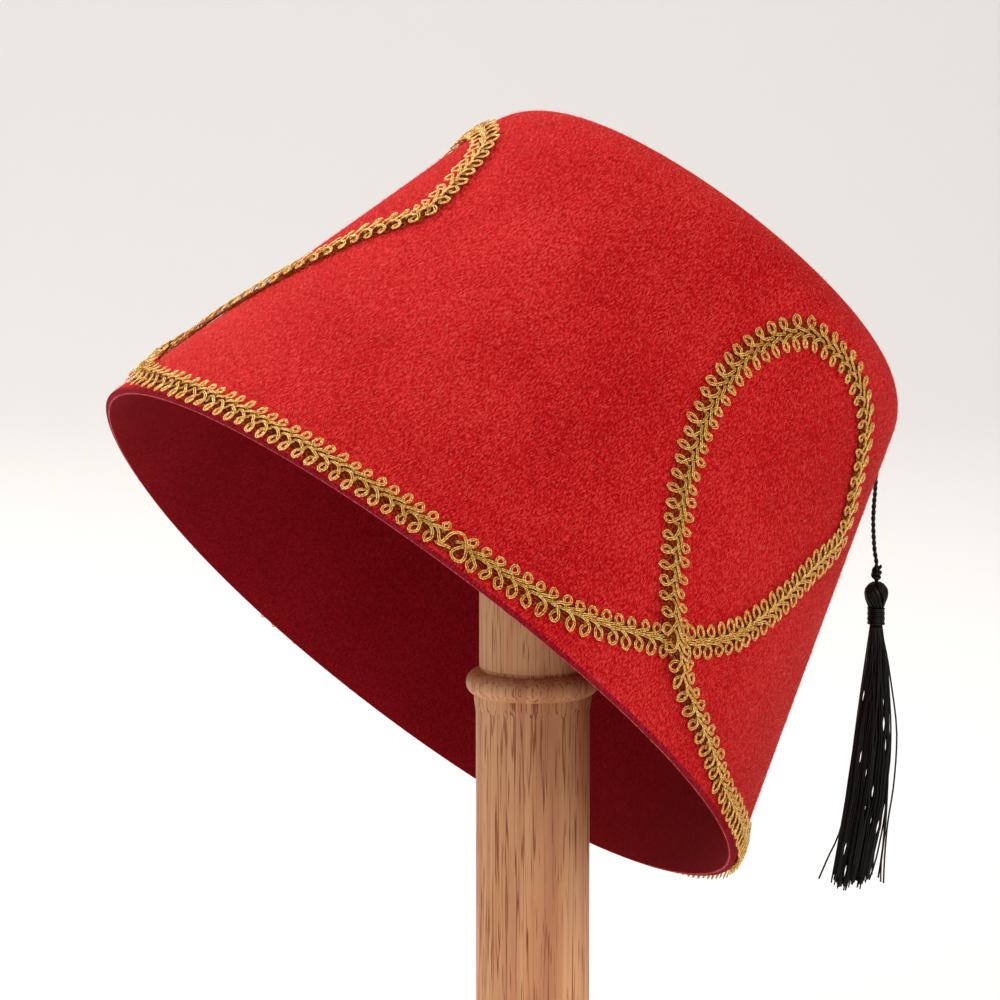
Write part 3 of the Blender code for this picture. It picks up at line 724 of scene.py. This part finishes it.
def braidRows():
    bandUp = (braid["width"] / 2 + braid["rimMargin"]) / math.cos(slope)
    loopUp = (crown["height"] - braid["loopBelowTop"]) / math.cos(slope)
    sector = math.tau / len(braid["loops"])
    highest = max(range(len(braid["route"])), key=lambda index: braid["route"][index][1])
    rows = []
    for loopTurn, width, bow in braid["loops"]:
        for index, (turn, up, over) in enumerate(braid["route"]):
            spread = 1 + (width - 1) * up
            bowed = bow * math.sin(math.pi * max(0, up)) if index < highest else 0
            base = math.radians(loopTurn + bowed)
            rows.append((base + turn * spread * sector, bandUp + up * (loopUp - bandUp), over))
    return np.array(rows)


trackSteps = 16  # samples of the braid's middle from one row of the route to the next


def braidTrack():
    # The whole closed middle of the braid, sampled finely: distance, turn and up, and where it crosses over
    rows = braidRows()
    wrap = np.array([math.tau, 0])
    places = rows[:, :2]
    ring = np.vstack([places[-1] - wrap, places, places[0] + wrap, places[1] + wrap])
    share = (np.arange(trackSteps) / trackSteps)[:, None]
    found = [between(*four, share) for four in zip(ring, ring[1:], ring[2:], ring[3:])]
    track = np.vstack(found + [places[:1] + wrap])
    points = crownPoints(track[:, 0], track[:, 1])
    distance = np.concatenate([[0], np.cumsum(np.linalg.norm(np.diff(points, axis=0), axis=1))])
    return distance, track, distance[np.nonzero(rows[:, 2])[0] * trackSteps]


trackDistance, trackPlaces, trackCrossings = braidTrack()
trackLength = trackDistance[-1]
curlTotal = round(trackLength / braid["curlPitch"] / len(braid["loops"])) * len(braid["loops"])
pitch = trackLength / curlTotal


def crossingLift(distance):
    gaps = np.abs((distance[:, None] - trackCrossings + trackLength / 2) % trackLength - trackLength / 2)
    share = np.clip(1 - (gaps.min(axis=1) - braid["crossingFlat"]) / braid["crossingRamp"], 0, 1)
    return (braid["thickness"] + gap) * share**2 * (3 - 2 * share)


def sidedness(place):
    # 1 where the braid's two sides differ, 0 where they are alike
    alike = np.zeros_like(place)
    for loop in range(len(braid["loops"])):
        firstRow = len(braid["route"]) * loop
        start, end = (trackDistance[trackSteps * (firstRow + row)] for row in braid["evenRows"])
        alike = np.maximum(alike, np.minimum(place - start, end - place) / braid["evenRamp"])
    return 1 - np.clip(alike, 0, 1)


def onCrown(distance, out, height):
    # From the flat braid to the felt: distance along it, out from its spine to its left, height off the felt
    turns = np.floor(distance / trackLength)
    place = distance - turns * trackLength
    out = braid["spine"] * sidedness(place) + out
    turn = np.interp(place, trackDistance, trackPlaces[:, 0]) + turns * math.tau
    up = np.interp(place, trackDistance, trackPlaces[:, 1])
    near = 0.0004
    turnChange = np.interp((place + near) % trackLength, trackDistance, trackPlaces[:, 0]) - np.interp(
        place, trackDistance, trackPlaces[:, 0])
    turnChange = np.where(turnChange < -1, turnChange + math.tau, turnChange)
    upChange = np.interp((place + near) % trackLength, trackDistance, trackPlaces[:, 1]) - up
    point, along, rise, normal = crownFrames(turn, up)
    forward = unit(along * turnChange[:, None] + rise * upChange[:, None])
    offset = np.cross(normal, forward) * np.asarray(out)[:, None]
    sideTurn = turn + (offset * along).sum(1) / (along**2).sum(1)
    sideUp = up + (offset * rise).sum(1) / (rise**2).sum(1)
    point, along, rise, normal = crownFrames(sideTurn, sideUp)
    lift = gap / 5 + crossingLift(place) + braid["relief"] * height
    return toRow(point + normal * lift[:, None])


def threadPair(line, side=1):
    # Two threads side by side along a line of forward, out from the spine and up
    flow = np.gradient(line[:, :2], axis=0)
    across = unit(np.stack([-flow[:, 1], flow[:, 0]], axis=1))
    threads = []
    for apart in (-1, 1):
        shifted = line.copy()
        shifted[:, :2] += across * apart * braid["threadApart"]
        threads.append(onCrown(shifted[:, 0], side * shifted[:, 1], shifted[:, 2]))
    return threads


def curlThreads(firstCurl, curlCount, side, rng):
    # The two threads of the cord that makes the curls on one side of the braid, each ring a little different
    own = np.array(braid["curls"][side]) / 1000
    even = (own + np.array(braid["curls"][-side]) / 1000) / 2
    rows = []
    for index in range(firstCurl, firstCurl + curlCount):
        curl = even + (own - even) * float(sidedness(np.array([(index + 0.8) * pitch]))[0])
        ringShare = np.clip((curl[:, 1:2] - 0.0006) / 0.0010, 0, 1)
        middle = curl[5:13].mean(axis=0) * (1, 1, 0)
        tip = np.exp(-((curl[:, 0] - middle[0]) / 0.0006) ** 2) * (curl[:, 1] > 0.85 * curl[:, 1].max())
        grow = 1 + rng.uniform(-braid["ringSize"], braid["ringSize"], 2)
        angle = rng.normal(0, braid["ringTurn"])
        shift = rng.uniform(-braid["ringShift"], braid["ringShift"], 3) / 1000
        away = curl - middle
        turned = np.stack([
            (away[:, 0] * math.cos(angle) - away[:, 1] * math.sin(angle)) * grow[0],
            (away[:, 0] * math.sin(angle) + away[:, 1] * math.cos(angle)) * grow[1], away[:, 2]], axis=1)
        turned[:, 1] += tip * rng.uniform(0, braid["ringTip"]) / 1000
        shaped = curl + ringShare * (turned - away + shift * (1, 0.8, 0.4))
        shaped[1:-1, :2] += rng.normal(0, braid["waver"] / 1000, (len(curl) - 2, 2))
        rows.append(shaped + ((index + 0.5 * (side > 0)) * pitch, 0, 0))
    return threadPair(curveThrough(np.vstack(rows), braid["pointStep"]), side)


def underThreads(firstCurl, curlCount):
    # Low threads under the curls, which show in the rings and between them: real threads, coloured dark brown as
    # painted shade
    start, end = firstCurl * pitch, (firstCurl + curlCount) * pitch
    distance = np.arange(start, end, braid["underStep"])
    threads = []
    for side, rows in braid["under"].items():
        for out, waver, phase in rows:
            wave = np.sin(math.tau * (distance / pitch + phase + 0.5 * (side > 0)))
            height = braid["underHeight"] + 0.00008 * np.cos(math.tau * (distance / pitch * 2 + phase))
            threads.append(onCrown(distance, side * (out + waver * wave) / 1000, height))
    return threads


def makeBraidLoop(loop):
    rng = np.random.default_rng(40 + loop)
    share = curlTotal // len(braid["loops"])
    first = loop * share
    breaks = {-1: [], 1: []}
    curls = []
    if loop == 0:
        # The lap's bent end takes the place of two curls on the rim's side and one on the other
        lapCurl = round((lapPlace() - braid["lapStart"] / 1000) / pitch)
        breaks = {-1: [lapCurl + 1, lapCurl + 2], 1: [lapCurl + 1]}
        for stem in braid["lap"]:
            start = lapCurl * pitch + braid["lapStart"] / 1000
            curls += threadPair(curveThrough(np.array(stem) / 1000 + (start, 0, 0), braid["pointStep"]))
    for side, left in breaks.items():
        ends = [first, *(left[:1]), *([left[-1] + 1] if left else []), first + share]
        for start, end in zip(ends[::2], ends[1::2]):
            curls += curlThreads(start, end - start, side, rng)
    under = underThreads(first, share)
    radii = [1.0] * len(curls) + [braid["underRadius"] / braid["threadRadius"]] * len(under)
    kinds = [0] * len(curls) + [1] * len(under)
    finishes = [goldGimp, underGimpPaintedShade]
    mesh = threadMesh(f"goldBraid{loop + 1}", curls + under, braid["threadRadius"], 1, radii, kinds, finishes)
    return addPiece(f"goldBraid{loop + 1}", mesh, finishes, ["gold_braid"])


def lapPlace():
    # How far along the braid its ends lap, on the rim band
    onBand = trackPlaces[:, 1] < np.quantile(trackPlaces[:, 1], 0.3)
    away = (trackPlaces[:, 0] - math.radians(braid["lapTurn"]) + math.pi) % math.tau - math.pi
    return trackDistance[int(np.argmin(np.where(onBand, np.abs(away), 9)))]


for loopIndex in range(len(braid["loops"])):
    makeBraidLoop(loopIndex)

print("stage: cord button")
button = {"radius": 0.0060, "edge": 0.0018, "rise": 0.0016, "threadRadius": 0.00028, "ribs": 34}


def makeCordButton():
    # A flat button covered in wound rayon, its ribs meeting at the middle
    foot = crown["height"] + crown["topRise"] + gap
    inner = button["radius"] - button["threadRadius"]
    threads = []
    for index in range(button["ribs"]):
        turn = math.tau * index / button["ribs"]
        angle = np.linspace(0, math.pi * 0.47, 9)
        radius = np.concatenate([[inner], inner * np.cos(angle)])
        z = np.concatenate([[foot + 0.0004], foot + button["edge"] - 0.0003 + button["rise"] * np.sin(angle)])
        threads.append(toRow(np.stack([radius * math.cos(turn), radius * math.sin(turn), z], axis=1)))
    for up in (0.0003, 0.0008):
        angle = np.linspace(0, math.tau, 61)
        ring = np.stack([inner * np.cos(angle), inner * np.sin(angle), np.full(61, foot + up)], axis=1)
        threads.append(toRow(ring))
    mesh = threadMesh("cordButton", threads, button["threadRadius"], 1)
    return addPiece("cordButton", mesh, [blackRayon], ["cord_button"])


makeCordButton()

print("stage: stand")


def makeTurnedWood():
    # Turned hardwood, unvarnished: tan with pinker bands, thin wavy grain lines and short dark open pores
    made, tree, shader = newMaterial("turnedHardwood")
    coords = addNode(tree, "TexCoord").outputs["Object"]
    bandSpace = addNode(tree, "Mapping", inputs={"Vector": coords, "Scale": (1, 1, 0.05)})
    bands = addNode(tree, "TexNoise", inputs={
        "Vector": bandSpace.outputs["Vector"], "Scale": perMetre(7), "Detail": 3.0, "Distortion": 0.5})
    bandRamp = addNode(tree, "ValToRGB", inputs={"Fac": bands.outputs["Fac"]})
    base = setStops(bandRamp, [(0.34, "C68660"), (0.46, "DA9C6E"), (0.56, "E4AE7E"), (0.68, "D09068")])
    lineSpace = addNode(tree, "Mapping", inputs={"Vector": coords, "Scale": (1, 1, 0.022)})
    lines = addNode(tree, "TexNoise", inputs={
        "Vector": lineSpace.outputs["Vector"], "Scale": perMetre(1.5), "Detail": 1.0, "Distortion": 0.2})
    fromMiddle = addNode(tree, "Math", {"operation": "SUBTRACT"}, {0: lines.outputs["Fac"], 1: 0.5})
    ridge = addNode(tree, "Math", {"operation": "ABSOLUTE"}, {0: fromMiddle.outputs[0]})
    lineRamp = addNode(tree, "ValToRGB", inputs={"Fac": ridge.outputs[0]})
    lineTone = setStops(lineRamp, [(0.0, "8A4C2C"), (0.008, "B87C5C"), (0.020, "FFFFFF")])
    poreSpace = addNode(tree, "Mapping", inputs={"Vector": coords, "Scale": (1, 1, 0.035)})
    pores = addNode(tree, "TexNoise", inputs={
        "Vector": poreSpace.outputs["Vector"], "Scale": perMetre(0.42), "Detail": 1.0, "Roughness": 0.5})
    poreRamp = addNode(tree, "ValToRGB", inputs={"Fac": pores.outputs["Fac"]})
    poreTone = setStops(poreRamp, [(0.27, "905A38"), (0.33, "D4B49C"), (0.40, "FFFFFF")])
    lined = addNode(tree, "Mix", {"data_type": "RGBA", "blend_type": "MULTIPLY"}, {0: 0.75, 6: base, 7: lineTone})
    pored = addNode(tree, "Mix", {"data_type": "RGBA", "blend_type": "MULTIPLY"}, {
        0: 0.85, 6: lined.outputs[2], 7: poreTone})
    bump = addNode(tree, "Bump", inputs={"Strength": 0.3, "Distance": 0.0002, "Height": pores.outputs["Fac"]})
    tree.links.new(pored.outputs[2], shader.inputs["Base Color"])
    tree.links.new(bump.outputs["Normal"], shader.inputs["Normal"])
    shader.inputs["Roughness"].default_value = 0.6
    shader.inputs["Specular IOR Level"].default_value = 0.35
    return made


turnedWood = makeTurnedWood()


def makeStandPost():
    foot = stand["baseHeight"] + gap
    ringMiddle = stand["height"] - stand["ringBelowTop"]
    ringTop, ringBottom = ringMiddle + stand["ringHeight"] / 2, ringMiddle - stand["ringHeight"] / 2
    lipRadius = stand["postRadius"] + stand["lip"]
    lipBottom = ringBottom - stand["lipHeight"]
    tenon = foot - stand["tenonLength"]
    outline = [(0, tenon), (stand["tenonRadius"], tenon), (stand["tenonRadius"], foot)]
    outline += [(stand["postRadius"], foot), (stand["postRadius"], lipBottom - stand["lipTaper"])]
    bead = stand["ringHeight"] / 2
    beadCentre = stand["ringRadius"] - bead
    meeting = -math.acos((lipRadius - beadCentre) / bead)  # the bead runs into the lip without a slot
    outline += [(lipRadius, lipBottom)]
    outline += arcPoints((beadCentre, ringMiddle), bead, meeting, math.pi / 2, 16)
    grooved = stand["neckedRadius"] - stand["groove"]
    outline += [(grooved, ringTop), (grooved, ringTop + stand["grooveHeight"])]
    outline += [(stand["neckedRadius"], ringTop + stand["grooveEnd"])]
    outline += arcPoints(
        (0, stand["height"] - stand["neckedRadius"]), stand["neckedRadius"], 0, math.pi / 2, 16)[:-1]
    outline += [(0, stand["height"])]
    mesh = meshFrom(spun(outline, 128), "standPost")
    return addPiece("standPost", mesh, [turnedWood], ["stand_post"])


def makeStandBase():
    socket = stand["tenonRadius"] + gap
    floor = stand["baseHeight"] - stand["tenonLength"]
    edge, chamfer = stand["baseEdge"], stand["baseChamfer"]
    outline = [(0, 0), (stand["baseRadius"] - chamfer, 0), (stand["baseRadius"], chamfer)]
    outline += arcPoints((stand["baseRadius"] - edge, stand["baseHeight"] - edge), edge, 0, math.pi / 2, 12)
    outline += [(socket, stand["baseHeight"]), (socket, floor), (0, floor)]
    mesh = meshFrom(spun(outline, 160), "standBase")
    return addPiece("standBase", mesh, [turnedWood], ["stand_base"])


makeStandPost()
makeStandBase()

print("stage: studio")
studio = {
    "paper": "DFDDDC", "world": "F6F4F2", "worldStrength": 0.45,
    "sweepWidth": 6.4, "sweepNear": -3.0, "sweepBendStart": 1.6, "sweepBend": 0.8, "sweepTop": 3.2,
    # Name, azimuth from the view's own direction to its right, elevation, distance, size, watts, colour,
    # and how far behind the hat it aims
    "lights": (
        ("keySkylight", -125, 48, 1.8, 1.3, 36, "FFFBF6", 0),
        ("fillFront", 34, 22, 2.1, 1.8, 21.8, "FFFBF6", 0),
        ("backdropWall", 180, 38, 1.9, 1.6, 7, "FFFCF9", 2.3),
    ),
}


def makePaper():
    # Matt white studio paper
    made, _, shader = newMaterial("studioPaper")
    shader.inputs["Base Color"].default_value = toLinear(studio["paper"])
    shader.inputs["Roughness"].default_value = 0.9
    return made


def makeStudio():
    # A pale floor that curves up into a backdrop, as one sheet of paper
    bm = bmesh.new()
    bend, width = studio["sweepBend"], studio["sweepWidth"]
    outline = [(studio["sweepNear"], 0.0)]
    outline += arcPoints((studio["sweepBendStart"], bend), bend, -math.pi / 2, 0, 12)
    outline += [(studio["sweepBendStart"] + bend, studio["sweepTop"])]
    verts = [bm.verts.new((-width / 2, away, up)) for away, up in outline]
    edges = [bm.edges.new(pair) for pair in zip(verts, verts[1:])]
    grown = bmesh.ops.extrude_edge_only(bm, edges=edges)["geom"]
    bmesh.ops.translate(bm, vec=(width, 0, 0), verts=[v for v in grown if isinstance(v, bmesh.types.BMVert)])
    bmesh.ops.rotate(
        bm, cent=(0, 0, 0), matrix=Matrix.Rotation(-viewOf["azimuth"], 3, "Z"), verts=bm.verts)
    mesh = meshFrom(bm, "studioSweep", 80)
    mesh.materials.append(makePaper())
    sweep = bpy.data.objects.new("studioSweep", mesh)
    scene.collection.objects.link(sweep)


def addAreaLight(name, azimuth, elevation, distance, size, watts, colour, behind):
    turn = viewOf["azimuth"] + math.radians(180 - azimuth)
    flat = math.cos(math.radians(elevation))
    away = Vector((math.sin(turn) * flat, math.cos(turn) * flat, math.sin(math.radians(elevation))))
    aim = viewOf["target"] + Vector((math.sin(viewOf["azimuth"]), math.cos(viewOf["azimuth"]), 0)) * behind
    data = bpy.data.lights.new(name, "AREA")
    data.shape = "DISK"
    data.size = size
    data.energy = watts
    data.color = toLinear(colour)[:3]
    light = bpy.data.objects.new(name, data)
    scene.collection.objects.link(light)
    if behind:
        aim.z = 0
        away = Vector((-away.x, -away.y, away.z))
    light.location = aim + away * distance
    light.rotation_euler = (-away).to_track_quat("-Z", "Y").to_euler()


def makeWorld():
    world = bpy.data.worlds.new("studioWorld")
    world.use_nodes = True
    background = world.node_tree.nodes["Background"]
    background.inputs["Color"].default_value = toLinear(studio["world"])
    background.inputs["Strength"].default_value = studio["worldStrength"]
    scene.world = world


makeStudio()
makeWorld()
for light in studio["lights"]:
    addAreaLight(*light)
scene.view_settings.view_transform = "Standard"

print("stage: finish")
